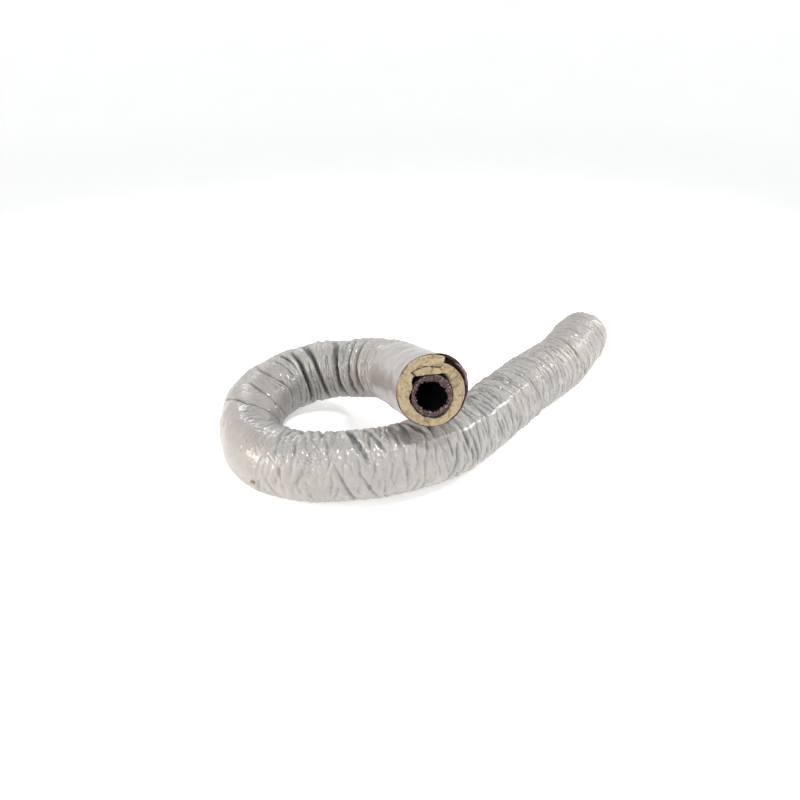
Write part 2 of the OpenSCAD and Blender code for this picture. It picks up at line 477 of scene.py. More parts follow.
# Regions of scattered creases: first and last distance, from angle and to angle, how many, the most
# slant in metres per radian, least and most half length in degrees, depth and half width in millimetres
SCATTERS = [
    # the tail and the crossing: close creases straight across
    (0.00, 0.98, 0, 360, 520, 0.014, 18, 46, 4.6, 3.0),
    (0.00, 0.98, 0, 360, 150, 0.034, 22, 60, 5.0, 4.4),
    # under the mouth and along the front
    (0.90, 1.42, 0, 360, 150, 0.030, 16, 40, 1.6, 3.2),
    (0.98, 1.42, 40, 190, 60, 0.034, 16, 44, 3.6, 5.0),
    (0.98, 1.42, -70, 40, 44, 0.034, 24, 46, 2.2, 4.0),
    # the left
    (1.40, 1.86, 0, 360, 110, 0.030, 12, 30, 0.9, 3.0),
    (1.42, 1.58, 90, 230, 24, 0.045, 18, 40, 3.0, 4.6),
    (1.58, 1.86, 150, 230, 16, 0.045, 14, 30, 2.6, 4.6),
    # the back
    (1.84, 2.44, 0, 360, 190, 0.030, 14, 40, 1.9, 3.6),
    (1.84, 2.44, 60, 240, 54, 0.030, 20, 50, 3.8, 6.0),
    (2.40, 2.56, 0, 360, 40, 0.040, 10, 36, 1.5, 4.0),
    # small crumpled patches on the top of the rise, the left and the front
    (2.32, 2.43, 60, 150, 80, 0.120, 4, 12, 2.4, 2.4),
    (1.74, 1.86, 95, 160, 50, 0.120, 4, 11, 1.8, 2.6),
    (1.28, 1.44, 35, 85, 60, 0.120, 4, 12, 1.6, 2.8),
    # the mouth run
    (2.44, 2.80, 0, 360, 46, 0.020, 10, 26, 0.6, 3.0),
]
# How far a crease's lips stand out as a share of its depth, how far creases may go in and lips out, how
# far out the film may stand before it is held back, and the depth at which a crease of the fan is painted
# fully in shade
LIP = 0.45
DEEPEST, HIGHEST = 14 * MM, 5.0 * MM
OUTER_LIMIT = FILM_R + 6.0 * MM
FAN_FULL_SHADE_DEPTH = 9 * MM


def press_crease(field, s0, angle0, s1, angle1, depth, width):
    """Adds one straight crease to field: a sharp valley with the film puffed up on both sides.
    Angles in radians."""
    middle, half = (angle0 + angle1) / 2, (angle1 - angle0) / 2
    share = wrap(PHI - middle) / half
    near = np.abs(share) < 1
    path = (s0 + s1) / 2 + share[near] * (s1 - s0) / 2
    low = int(np.clip((path.min() - 5 * width) / ROW_STEP, 0, ROWS - 1))
    high = int(np.clip((path.max() + 5 * width) / ROW_STEP, 1, ROWS))
    off = np.abs(S[low:high, None] - path[None]) / width
    taper = (1 - share[near] ** 2) ** 0.7
    block = np.ix_(np.arange(low, high), np.flatnonzero(near))
    field[block] += depth * taper * (LIP * np.exp(-((off - 2.0) / 0.9) ** 2) - np.exp(-off ** 1.3))


def press_path(field, points, depth, width):
    """Adds one long crease to field through the points: sharp, and puffed up on both sides."""
    distances, angles = np.array(points).T
    angles = np.radians(angles)
    middle, half = (angles[0] + angles[-1]) / 2, (angles[-1] - angles[0]) / 2
    turned = wrap(PHI - middle)
    near = np.abs(turned) < half
    path = smooth_path(turned[near], angles - middle, distances)
    off = np.abs(S[:, None] - path[None]) / width
    taper = (1 - np.abs(turned[near] / half) ** 3) ** 0.7
    field[:, near] += depth * taper * (0.22 * np.exp(-((off - 2.2) / 1.1) ** 2) - np.exp(-off ** 1.2))


def smooth_path(angle, angles, distances):
    """Straight between the points, with their corners rounded."""
    spread = np.radians([-8.0, -4.0, 0.0, 4.0, 8.0])
    return np.mean([np.interp(angle + step, angles, distances) for step in spread], axis=0)


def scattered_creases():
    field = np.zeros((ROWS, COLUMNS))
    for first, last, angle0, angle1, count, slant, least, most, depth, width in SCATTERS:
        for _ in range(count):
            s = rng.uniform(first, last)
            angle = math.radians(rng.uniform(angle0, angle1))
            half = math.radians(rng.uniform(least, most))
            lean = rng.uniform(-slant, slant) * half
            deep = depth * rng.uniform(0.35, 1.0) * MM
            press_crease(field, s - lean, angle - half, s + lean, angle + half, deep,
                         width * rng.uniform(0.7, 1.2) * MM)
    return field


def along_noise(length, seed):
    """A random level along the duct, about -1 to 1, that changes over the given length."""
    level = smooth(np.random.default_rng(seed).normal(size=(ROWS, 1)), length)
    return level / (2.2 * level.std())


# Where the long edge beside the mouth is, and the angle of each point from it
RIDGE_SPAN = smooth(span(0.50, 0.06, 1.12, 0.05), 0.02)[:, None]
RIDGE_OFF = wrap(PHI[None, :] - math.radians(49.5) - 0.035 * along_noise(0.022, 61))


def ridge_line():
    """The long edge that the film stands up in beside the mouth, with a flatter side above and below."""
    off = np.abs(RIDGE_OFF)
    height = 1 + 0.35 * np.sin(S * 95)[:, None] + 0.25 * np.sin(S * 171 + 1)[:, None]
    flatter = 2.8 * np.exp(-((off - 0.50) / 0.26) ** 2)
    return RIDGE_SPAN * (3.8 * height * np.exp(-off / 0.075) - flatter) * MM


def edge_glint_paint():
    """A painted highlight along the top of that edge, in uneven dashes: how far each point is lightened."""
    dashes = np.clip(0.32 + 1.5 * along_noise(0.005, 62) + 0.9 * along_noise(0.02, 63), 0, 0.9)
    return span(0.55, 0.05, 1.00, 0.06)[:, None] * dashes * np.exp(-(RIDGE_OFF / 0.028) ** 2)


def crease_film():
    """Presses all the creases and the broad hollows into the film, and keeps it off the floor. Returns
    how far out the creases move each point, and how much painted shade goes on each point in a crease of
    the fan."""
    field = scattered_creases()
    for s0, angle0, s1, angle1, depth, width in FOLDS + DENTS:
        press_crease(field, s0, math.radians(angle0), s1, math.radians(angle1), depth, width * 1.15)
    fan = np.zeros_like(field)
    for points, depth, width in FAN:
        press_path(fan, points, depth, width)
    field += fan
    field = np.clip(field, -DEEPEST, HIGHEST) + ridge_line()
    field *= np.clip(np.minimum(S, LENGTH - S) / 0.05, 0.15, 1)[:, None]
    radius = film_radius()
    grown = radius + field
    grown = np.where(grown > OUTER_LIMIT, OUTER_LIMIT + (grown - OUTER_LIMIT) * 0.25, grown)
    for s, angle, depth, length, half in PRESSES:
        beside = np.clip(np.abs(wrap(PHI - math.radians(angle))) / math.radians(half), 0, 1)
        beyond = np.clip(np.abs(S - s) / length, 0, 1)[:, None]
        grown -= depth * np.cos(beside * math.pi / 2) ** 2 * np.cos(beyond * math.pi / 2) ** 1.5
    FILM[:] += OUT * (grown - radius)[..., None]
    FILM[..., 2] = np.maximum(FILM[..., 2], FLOOR_GAP)
    return field, np.clip(-fan / FAN_FULL_SHADE_DEPTH, 0, 1)


CREASE, FAN_PAINTED_SHADE = crease_film()


# ---------------------------------------------------------------- mesh building
def add_mesh(name, points, faces, laid, materials, second=None, caps=()):
    """A smooth-shaded mesh piece. laid gives each point's place on the duct laid out straight, which
    its material is drawn in. second marks the faces that have the second material, and caps are the
    faces that close the ends of a tube."""
    mesh = bpy.data.meshes.new(name)
    points, laid = (np.asarray(rows).reshape(-1, 3) for rows in (points, laid))
    mesh.from_pydata(points.tolist(), [], faces.tolist() + [list(cap) for cap in caps])
    mesh.shade_smooth()
    for material in materials:
        mesh.materials.append(material)
    if second is not None:
        mesh.polygons.foreach_set("material_index", second.astype(np.int32))
    store(mesh, "laid", laid)
    return add_object(name, mesh)


def store(mesh, name, values):
    """Keeps a number or a vector for each point of the mesh, for its material."""
    values = np.asarray(values, dtype=np.float32)
    if values.ndim == 2:
        mesh.attributes.new(name, "FLOAT_VECTOR", "POINT").data.foreach_set("vector", values.ravel())
    else:
        mesh.attributes.new(name, "FLOAT", "POINT").data.foreach_set("value", values)


def grid_faces(rows, columns, closed_rows=False):
    """Quads of a grid whose columns go round and close, wound to face out from the duct."""
    last = rows if closed_rows else rows - 1
    r = np.arange(last)[:, None]
    c = np.arange(columns)[None, :]
    nr, nc = (r + 1) % rows, (c + 1) % columns
    corners = [r * columns + c, r * columns + nc, nr * columns + nc, nr * columns + c]
    return np.stack([np.broadcast_to(k, (last, columns)) for k in corners], -1).reshape(-1, 4)


def add_wall(name, outer, inner, laid_outer, laid_inner, material):
    """A piece that is the wall between an outer and an inner surface, closed at both ends."""
    rows, columns = len(outer) + len(inner), len(outer[0])
    return add_mesh(name, np.concatenate([outer, inner[::-1]]), grid_faces(rows, columns, closed_rows=True),
                    np.concatenate([laid_outer, laid_inner[::-1]]), [material])


def tube_caps(rows, columns):
    """The end faces of a tube whose side faces are the reverse of grid_faces."""
    last = (rows - 1) * columns
    return [range(columns), range(last + columns - 1, last - 1, -1)]


def straight_place(distance, angle, radius):
    """A place on the duct laid out straight."""
    places = np.broadcast_arrays(distance, radius * np.cos(angle), radius * np.sin(angle))
    return np.stack(places, -1)


def straightened(distances, angles, radius):
    """The place of each point of a layer on the duct laid out straight."""
    return straight_place(distances[:, None], angles[None, :], radius)


# ---------------------------------------------------------------- how the core sags in its mouth
MOUTH_SAG = 13 * MM
# The length of duct over which it comes to sag
SAG_REACH = 0.20
# Height above the duct's centre of the flap of wool that lies flat on top of the core in the mouth
MOUTH_FLAP = 40 * MM


def core_offset(distances):
    share = np.clip((np.asarray(distances) - (LENGTH - SAG_REACH)) / SAG_REACH, 0, 1)
    return -MOUTH_SAG * share * share * (3 - 2 * share)


def core_points(line, angles, radius):
    """Points of a core layer: it hangs a little low near the mouth."""
    up = np.array([0.0, 0.0, 1.0]) - line.ahead * line.ahead[:, 2:3]
    up /= np.linalg.norm(up, axis=1)[:, None]
    centre = line.centre + up * core_offset(line.s)[:, None]
    return centre[:, None] + line.around(angles) * np.asarray(radius)[..., None]


# ---------------------------------------------------------------- the cut of every layer into pieces
# Each piece bends across one joint: name, its two distances, the body before the flexing stretch,
# the body after it, and that stretch.
TAIL_CUT = (STARTS["tail_middle"] + ENDS["tail_middle"]) / 2
SWEEP_CUT = STARTS["sweep_second"]
BACK_CUT = STARTS["back_middle"]
PARTS = [
    ("tail", 0.0, TAIL_CUT, "tail_end", "tail_middle", "tail_far_bend"),
    ("crossing", TAIL_CUT, SWEEP_CUT, "tail_middle", "front_loop", "tail_near_bend"),
    ("loop", SWEEP_CUT, BACK_CUT, "front_loop", "back_loop", "left_bend"),
    ("mouth", BACK_CUT, LENGTH, "back_loop", "mouth", "mouth_bend"),
]
# The runs that the films and the wire are cut into in the CAD, each with its first and last stretch
RUN_ENDS = {run: (run, run) for run in (
    "tail_end", "tail_far_bend", "tail_middle", "tail_near_bend", "front_loop", "left_bend", "back_loop",
    "mouth_bend", "mouth")}
RUN_ENDS.update(front_loop=("crossing", "left_second"), back_loop=("back_first", "rise_second"))


def trimmed(part, inset):
    """A part's name and its two distances, stopped an inset short of the duct's open ends."""
    name, first, last = part[:3]
    return name, max(first, inset), min(last, LENGTH - inset)


def nodes_between(layer, first, last):
    """The CAD nodes of a layer that a piece from first to last stands for."""
    runs = {s[0]: (s[0], s[0]) for s in ROUTE} if layer == "insulation" else RUN_ENDS
    return [f"{layer}_{run}" for run, (a, b) in runs.items()
            if STARTS[a] < last - ROW_STEP and ENDS[b] > first + ROW_STEP]


def settle(piece, part, layer):
    """Bakes a layer's piece in place and hides the CAD nodes of its layer that it stands for."""
    _, first, last, before, after, stretch = part
    ends = Stations([STARTS[stretch], ENDS[stretch]]).centre
    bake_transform(piece)
    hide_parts(*nodes_between(layer, first, last))


# ---------------------------------------------------------------- materials
class Nodes:
    """A new material, with short ways to add its nodes."""

    def __init__(self, name, colour, roughness, **sockets):
        self.material = bpy.data.materials.new(name)
        self.material.use_nodes = True
        self.tree = self.material.node_tree
        self.shader = self.tree.nodes["Principled BSDF"]
        self.shader.inputs["Base Color"].default_value = (*colour, 1)
        self.shader.inputs["Roughness"].default_value = roughness
        for socket, value in sockets.items():
            self.shader.inputs[socket.replace("_", " ")].default_value = value

    def add(self, kind, **settings):
        node = self.tree.nodes.new(kind)
        for key, value in settings.items():
            setattr(node, key, value)
        return node

    def link(self, output, socket):
        self.tree.links.new(output, socket)

    def stored(self, name, output="Fac"):
        """What store() has kept for each point of the mesh."""
        return self.add("ShaderNodeAttribute", attribute_name=name).outputs[output]

    def pattern(self, kind, stretch, **sockets):
        """A pattern drawn on the laid-out duct, stretched by direction."""
        mapping = self.add("ShaderNodeMapping")
        mapping.inputs["Scale"].default_value = stretch
        self.link(self.stored("laid", "Vector"), mapping.inputs["Vector"])
        node = self.add(kind)
        for socket, value in sockets.items():
            node.inputs[socket].default_value = value
        self.link(mapping.outputs["Vector"], node.inputs["Vector"])
        return node

    def noise(self, scale, stretch=(1, 1, 1), detail=3.0, rough=0.5, distort=0.0):
        return self.pattern("ShaderNodeTexNoise", stretch, Scale=scale, Detail=detail, Roughness=rough,
                            Distortion=distort).outputs["Fac"]

    def facets(self, scale, stretch):
        """Distance to the middle of the nearest cell."""
        return self.pattern("ShaderNodeTexVoronoi", stretch, Scale=scale).outputs["Distance"]

    def ramp(self, value, stops):
        """A value turned into a colour or a level. stops are (place, grey or colour)."""
        node = self.add("ShaderNodeValToRGB")
        while len(node.color_ramp.elements) < len(stops):
            node.color_ramp.elements.new(0.5)
        for element, (place, colour) in zip(node.color_ramp.elements, stops):
            element.position = place
            colour = colour if isinstance(colour, tuple) else (colour,) * 3
            element.color = (*colour, 1)
        self.link(value, node.inputs["Fac"])
        return node.outputs["Color"]

    def mix(self, share, a, b, blend="MIX"):
        node = self.add("ShaderNodeMix", data_type="RGBA", blend_type=blend)
        for value, socket in ((share, node.inputs["Factor"]), (a, node.inputs["A"]), (b, node.inputs["B"])):
            if isinstance(value, bpy.types.NodeSocket):
                self.link(value, socket)
            elif isinstance(value, tuple):
                socket.default_value = (*value, 1)
            else:
                socket.default_value = value
        return node.outputs["Result"]

    def bump(self, height, distance, strength=1.0, under=None):
        node = self.add("ShaderNodeBump")
        node.inputs["Strength"].default_value = strength
        node.inputs["Distance"].default_value = distance
        self.link(height, node.inputs["Height"])
        if under is not None:
            self.link(under, node.inputs["Normal"])
        return node.outputs["Normal"]

    def finish(self, colour=None, roughness=None, normal=None):
        for value, socket in ((colour, "Base Color"), (roughness, "Roughness"), (normal, "Normal")):
            if value is not None:
                self.link(value, self.shader.inputs[socket])
        return self.material


def film_material():
    """Grey polyethylene film: glossy, crinkled into small facets where it is slack, with shade painted into
    its folds and a painted highlight along the edge beside the mouth.
    """
    n = Nodes("jacket_film", (0.60, 0.60, 0.59), 0.34, Coat_Weight=0.45, Coat_Roughness=0.09)
    slack = n.stored("slack")
    facets = n.mix(1.0, n.facets(74, (1.0, 0.20, 0.20)), slack, "MULTIPLY")
    small = n.mix(1.0, n.facets(190, (1.0, 0.42, 0.42)), slack, "MULTIPLY")
    crinkle = n.noise(140, (2.2, 0.6, 0.6), detail=4, rough=0.55, distort=0.6)
    grain = n.noise(900, detail=2)
    patch = n.noise(5, detail=2)
    colour = n.ramp(patch, [(0.35, (0.306, 0.291, 0.277)), (0.68, (0.333, 0.309, 0.287))])
    streak = n.noise(70, (2.0, 0.35, 0.35), detail=4)
    colour = n.mix(0.4, colour, n.ramp(streak, [(0.3, 0.70), (0.62, 1.0)]), "MULTIPLY")
    # the film's colour is darker where it lies tight
    colour = n.mix(1.0, colour, n.ramp(slack, [(0.1, 0.76), (0.5, 1.0)]), "MULTIPLY")
    # painted shade: the colour is darkened in folds and hollows, and painted nearly black in the shut
    # creases of the fan
    fold = n.stored("fold")
    colour = n.mix(fold, colour, (0.115, 0.13, 0.132))
    colour = n.mix(n.ramp(fold, [(0.90, 0.0), (1.0, 0.9)]), colour, (0.03, 0.035, 0.035))
    # painted highlight: the sharp edge beside the mouth is lightened in uneven dashes, as if it caught the
    # light
    colour = n.mix(n.stored("painted_glint"), colour, (0.80, 0.81, 0.80))
    normal = n.bump(facets, 5.0 * MM, 0.75)
    normal = n.bump(small, 1.6 * MM, 0.7, normal)
    normal = n.bump(crinkle, 0.6 * MM, 0.6, normal)
    normal = n.bump(grain, 0.05 * MM, 0.3, normal)
    return n.finish(colour, n.ramp(streak, [(0.3, 0.32), (0.75, 0.50)]), normal)


def lining_material():
    """The dark purple-brown inner face of the film."""
    n = Nodes("film_lining", (0.13, 0.075, 0.08), 0.36, Metallic=0.25)
    crinkle = n.noise(150, (1.5, 1, 1), detail=4)
    colour = n.ramp(crinkle, [(0.3, (0.085, 0.045, 0.05)), (0.75, (0.25, 0.165, 0.17))])
    return n.finish(colour, n.ramp(crinkle, [(0.3, 0.28), (0.7, 0.5)]), n.bump(crinkle, 0.8 * MM, 0.8))


def wool_material():
    """Yellow-grey glass wool: fine felted fibres in layers, browned in patches, with shade painted into its
    cracks.
    """
    n = Nodes("glass_wool", (0.50, 0.42, 0.25), 0.95, Sheen_Weight=0.2, Sheen_Roughness=0.5)
    layers = n.noise(130, (2.0, 0.4, 0.4), detail=5, rough=0.65, distort=1.6)
    fibres = n.noise(1000, (1.6, 0.5, 0.5), detail=3, rough=0.6, distort=2.0)
    patch = n.noise(34, detail=5, rough=0.65, distort=1.2)
    colour = n.ramp(layers, [(0.25, (0.18, 0.12, 0.055)), (0.42, (0.33, 0.25, 0.145)),
                             (0.75, (0.47, 0.39, 0.255))])
    colour = n.mix(n.ramp(patch, [(0.50, 0.0), (0.66, 0.85)]), colour, (0.15, 0.085, 0.038))
    colour = n.mix(0.4, colour, n.ramp(fibres, [(0.3, 0.58), (0.65, 1.0)]), "MULTIPLY")
    # painted shade: darkened in the cracks, the lapped seam, the notch and on the wall against the core
    colour = n.mix(n.stored("painted_crack_shade"), colour, (0.045, 0.02, 0.012))
    normal = n.bump(layers, 2.4 * MM, 0.9)
    return n.finish(colour, None, n.bump(fibres, 0.6 * MM, 0.8, normal))


def core_material(name, dark, light, roughness, metallic):
    """Laminated core film over the wire, pleated and scuffed."""
    n = Nodes(name, dark, roughness, Metallic=metallic)
    pleats = n.noise(160, (0.8, 1.6, 1.6), detail=4, rough=0.6, distort=0.4)
    colour = n.ramp(pleats, [(0.46, dark), (0.86, light)])
    level = n.ramp(pleats, [(0.3, roughness - 0.06), (0.75, roughness + 0.12)])
    return n.finish(colour, level, n.bump(pleats, 0.8 * MM, 0.7))


def steel_material():
    """Drawn spring steel with faint draw marks."""
    n = Nodes("spring_steel", (0.42, 0.42, 0.43), 0.35, Metallic=1.0)
    marks = n.noise(500, (0.4, 1, 1), detail=2)
    colour = n.ramp(marks, [(0.3, (0.30, 0.30, 0.31)), (0.7, (0.50, 0.50, 0.51))])
    return n.finish(colour, None, n.bump(marks, 0.03 * MM, 0.5))


def floor_material():
    """Seamless white paper, a little uneven."""
    n = Nodes("backdrop_paper", (0.93, 0.93, 0.93), 0.9, Specular_IOR_Level=0.1,
              Emission_Color=(1, 1, 1, 1), Emission_Strength=0.40)
    return n.finish(n.ramp(n.noise(3, detail=2), [(0.3, 0.84), (0.7, 0.87)]))


FILM_MATERIAL = film_material()
LINING_MATERIAL = lining_material()
WOOL_MATERIAL = wool_material()
OUTER_PLY_MATERIAL = core_material("core_outer_film", (0.026, 0.012, 0.012), (0.24, 0.14, 0.135),
                                   0.22, 0.25)
# nearly black: partly the liner's own dark film, partly painted shade of the deep bore
INNER_PLY_MATERIAL = core_material("core_inner_film", (0.006, 0.006, 0.007), (0.02, 0.018, 0.02),
                                   0.5, 0.0)
STEEL_MATERIAL = steel_material()


# ---------------------------------------------------------------- the open ends
class End:
    """One open end of the duct: its centre, its outward axis, and right and up as seen facing it."""

    def __init__(self, distance, outward):
        line = Stations([distance])
        self.distance, self.sign = distance, outward
        self.out = line.ahead[0] * outward
        up = np.array([0.0, 0.0, 1.0])
        self.up = up - self.out * (up @ self.out)
        self.up /= np.linalg.norm(self.up)
        self.right = np.cross(self.up, self.out)
        self.centre = line.centre[0]
        # where the duct's own angle 0 lies, and which way its angles run, seen facing this end
        self.zero = math.atan2(line.side[0] @ self.up, line.side[0] @ self.right)

    def place(self, depth, across, above):
        """Points at a depth out of the end and a place across it."""
        return (self.centre + np.asarray(depth)[..., None] * self.out
                + np.asarray(across)[..., None] * self.right + np.asarray(above)[..., None] * self.up)

    def seen(self, duct_angle):
        """Angle seen facing this end, anticlockwise from the right, of an angle round the duct."""
        return self.zero + self.sign * duct_angle


MOUTH = End(LENGTH, 1)
TAIL = End(0.0, -1)


def bell(angle, middle, half):
    """1 at middle, falling to 0 half away from it. Degrees, with angle in radians."""
    return np.clip(1 - (wrap(angle - math.radians(middle)) / math.radians(half)) ** 2, 0, 1)


def shape_film_end(film, end, flare_middle, flare, flare_half):
    """Lets the film stand off the blanket at one side of an open end, and cuts its edge raggedly."""
    reach = 0.045
    away = np.abs(S - end.distance)
    share = np.clip(1 - away / reach, 0, 1)[:, None] ** 1.6
    seen = end.seen(PHI)
    lift = flare * bell(seen, flare_middle, flare_half) ** 0.8
    ragged = (rng.standard_normal(COLUMNS) * 0.5 + 0.9 * np.sin(7 * PHI + 1) + 0.7 * np.sin(17 * PHI)) * MM
    rim = np.clip(1 - away / 0.02, 0, 1)[:, None]
    film += OUT * (share * lift[None, :])[..., None]
    film += LINE.ahead[:, None] * end.sign * (rim * ragged[None, :])[..., None]


shape_film_end(FILM, MOUTH, 30, 6.5 * MM, 50)
shape_film_end(FILM, TAIL, 120, 3.0 * MM, 60)


# ---------------------------------------------------------------- the jacket pieces
# How slack the film is along the duct, which sets how strongly it is crinkled: distances and levels
SLACK = ([0.0, 0.90, 1.10, 1.35, 1.45, 1.80, 1.90, 2.40, 2.48, 2.80],
         [1.0, 1.0, 0.75, 0.6, 0.3, 0.3, 0.7, 0.8, 0.15, 0.12])
# How far the film is turned in at the open ends, the step of its rows there, and its thickness
HEM = 0.05
HEM_STEP = 5 * MM
FILM_T = 0.5 * MM
# The depths at which a crease and a broader hollow are in full shade
CREASE_SHADE = 10 * MM
HOLLOW_SHADE = 2.4 * MM


def lowest_nearby(radius, rows, columns):
    """The film's lowest radius within some rows and columns of each point."""
    low = radius.copy()
    for step in range(1, rows + 1):
        low[step:] = np.minimum(low[step:], radius[:-step])
        low[:-step] = np.minimum(low[:-step], radius[step:])
    wide = low.copy()
    for step in range(1, columns + 1):
        wide = np.minimum(wide, np.minimum(np.roll(low, step, 1), np.roll(low, -step, 1)))
    return wide


def film_normals():
    around = np.roll(FILM, -1, 1) - np.roll(FILM, 1, 1)
    normals = np.cross(np.gradient(FILM, axis=0), around)
    normals /= np.linalg.norm(normals, axis=-1)[..., None]
    return -normals if ((normals * OUT).sum(-1)).mean() < 0 else normals


def jacket_pieces():
    radius = film_radius()
    # painted shade: the film's colour is darkened in its creases and where it lies lower than the film
    # round it, where shade falls
    hollow = smooth(radius, 0.012) - radius
    fold = np.clip(-CREASE / CREASE_SHADE, 0, 1.5) * 0.6 + np.clip(hollow / HOLLOW_SHADE, 0, 1) * 0.62
    fold = np.maximum(np.clip(fold - 0.09, 0, 0.90), FAN_PAINTED_SHADE)
    normals = film_normals()
    laid = straightened(S, PHI, FILM_R)
    painted_glint = edge_glint_paint()
    lowest = lowest_nearby(radius, 3, 1)
    turned = np.concatenate([[0], (np.arange(HEM_STEP, HEM, HEM_STEP) // ROW_STEP).astype(int)])
    for part in PARTS:
        name, first, last = part[:3]
        low, high = int(round(first / ROW_STEP)), int(round(last / ROW_STEP))
        rows = np.arange(low, min(high, ROWS - 1) + 1)
        fields = [field[rows] for field in (FILM, laid, normals, fold, painted_glint)] + [np.zeros(len(rows), bool)]
        if name in ("tail", "mouth"):
            # the rows of the hem, from the film's edge inwards
            hem = turned if name == "tail" else ROWS - 1 - turned
            under = LINE.centre[hem, None] + OUT[hem] * (lowest[hem] - FILM_T)[..., None]
            under[0] = FILM[hem[0]] - normals[hem[0]] * FILM_T
            plain = np.zeros((len(hem), COLUMNS))
            hems = [under, laid[hem], -normals[hem], plain, plain, np.ones(len(hem), bool)]
            if name == "tail":
                fields = [np.concatenate([added[::-1], field]) for added, field in zip(hems, fields)]
            else:
                fields = [np.concatenate([field, added]) for added, field in zip(hems, fields)]
        # dark carries the painted shade and white the painted highlight of each point
        points, place, normal, dark, white, inside = fields
        piece = add_mesh(f"jacket_cover_{name}", points, grid_faces(len(points), COLUMNS), place,
                         [FILM_MATERIAL, LINING_MATERIAL], np.repeat(inside[1:] & inside[:-1], COLUMNS))
        # the painted shade of the creases and hollows
        store(piece.data, "fold", dark.ravel())
        # the painted highlight along the edge beside the mouth
        store(piece.data, "painted_glint", white.ravel())
        store(piece.data, "slack", np.interp(place[..., 0], *SLACK).ravel())
        piece.data.normals_split_custom_set_from_vertices(normal.reshape(-1, 3).tolist())
        settle(piece, part, "jacket")


jacket_pieces()


# ---------------------------------------------------------------- the blanket
WOOL_COLUMNS = 60
WOOL_STEP = 0.01
# Gaps between the blanket and the film, and between the core and the blanket
FILM_GAP = 0.8 * MM
CORE_GAP = 0.3 * MM
# The length of blanket at each open end that is a piece of its own
END_LENGTH = 0.075


def wool_surface(distances, angles):
    """Outer radius of the blanket: under the lowest of the film nearby."""
    low = lowest_nearby(film_radius(), 6, 2)
    rows = np.clip(np.round(distances / ROW_STEP).astype(int), 0, ROWS - 1)
    columns = np.round(angles / (2 * math.pi) * COLUMNS).astype(int) % COLUMNS
    return low[rows][:, columns] - FILM_GAP


def blanket_pieces():
    angles = even_angles(WOOL_COLUMNS)
    for part in PARTS:
        name, first, last = trimmed(part, END_LENGTH)
        s = np.linspace(first, last, int(round((last - first) / WOOL_STEP)) + 1)
        line = Stations(s)
        outer = line.centre[:, None] + line.around(angles) * wool_surface(s, angles)[..., None]
        inner = core_points(line, angles, np.full((len(s), WOOL_COLUMNS), CORE_R + CORE_GAP))
        piece = add_wall(f"wool_blanket_{name}", outer, inner, straightened(s, angles, WOOL_R),
                         straightened(s, angles, CORE_R), WOOL_MATERIAL)
        settle(piece, part, "insulation")


blanket_pieces()


# ---------------------------------------------------------------- the core
CORE_STEP = 4 * MM
CORE_COLUMNS = 80
# How far the core stops short of the duct's open ends
CORE_INSET = 4 * MM
PLY_T = LINER_R - BORE_R


def wire_ridge(distances, angles):
    """1 over the wire, 0 between its turns."""
    turns = distances[:, None] / WIRE_PITCH - angles[None, :] / (2 * math.pi)
    off = (turns - np.round(turns)) * WIRE_PITCH
    return np.exp(-(off / (4 * MM)) ** 2)


def ply_pieces(title, layer, material, low_radius, high_radius):
    """One film of the core. Its outer radius is low_radius between the wire's turns and high_radius
    over them."""
    angles = even_angles(CORE_COLUMNS)
    for part in PARTS:
        name, first, last = trimmed(part, CORE_INSET)
        s = np.linspace(first, last, int(round((last - first) / CORE_STEP)) + 1)
        line = Stations(s)
        radius = low_radius + (high_radius - low_radius) * wire_ridge(s, angles)
        laid = straightened(s, angles, BORE_R)
        piece = add_wall(f"{title}_{name}", core_points(line, angles, radius),
                         core_points(line, angles, radius - PLY_T), laid, laid, material)
        settle(piece, part, layer)


ply_pieces("core_outer_film", "outer_ply", OUTER_PLY_MATERIAL, CORE_R - 1.2 * MM, CORE_R)
ply_pieces("core_liner", "inner_ply", INNER_PLY_MATERIAL, LINER_R + 0.8 * MM, LINER_R)


def wire_pieces():
    per_turn, sides = 40, 8
    centre_r = WIRE_R - WIRE_D / 2
    turn = even_angles(sides)
    for part in PARTS:
        name, first, last = trimmed(part, 2 * CORE_INSET)
        s = np.linspace(first, last, int(round((last - first) / WIRE_PITCH * per_turn)) + 1)
        line = Stations(s)
        angle = 2 * math.pi * s / WIRE_PITCH
        out = line.side * np.cos(angle)[:, None] + line.above * np.sin(angle)[:, None]
        up = np.array([0.0, 0.0, 1.0]) - line.ahead * line.ahead[:, 2:3]
        centre = line.centre + up * core_offset(s)[:, None] + out * centre_r
        points = (centre[:, None] + (out[:, None] * np.cos(turn)[None, :, None]
                                     + line.ahead[:, None] * np.sin(turn)[None, :, None]) * WIRE_D / 2)
        laid = straight_place(s[:, None] + np.sin(turn)[None] * WIRE_D, angle[:, None], BORE_R)
        piece = add_mesh(f"wire_{name}", points, grid_faces(len(s), sides)[:, ::-1], laid, [STEEL_MATERIAL],
                         caps=tube_caps(len(s), sides))
        settle(piece, part, "wire_helix")


wire_pieces()


# ---------------------------------------------------------------- the ends of the blanket
def radial_noise(angles, radii, count, seed, reach=1.0):
    """Smooth seeded noise over a ring, a sum of count waves that close round it."""
    waves = np.random.default_rng(seed)
    total = np.zeros(np.broadcast(angles, radii).shape)
    for _ in range(count):
        turns = waves.integers(1, 14) * reach
        total += np.sin(np.round(turns) * angles + waves.uniform(80, 420) * radii + waves.uniform(0, 6.3))
    return total / math.sqrt(count)


def ramp_up(values, low, high):
    """0 below low, 1 above high, and straight between them. low may be the higher one."""
    return np.clip((values - low) / (high - low), 0, 1)


# Where the core's rim stands off the wool: angle, half angle, and gap in millimetres
CORNERS = ((138, 24, 12), (44, 26, 8), (286, 20, 5), (196, 16, 4))
# Cracks that run out from the core: angle, and the share of the wool's thickness that they cross
CRACKS = ((176, 0.30), (192, 0.36), (222, 0.20), (250, 0.46), (262, 0.30), (284, 0.22), (318, 0.40),
          (20, 0.3))


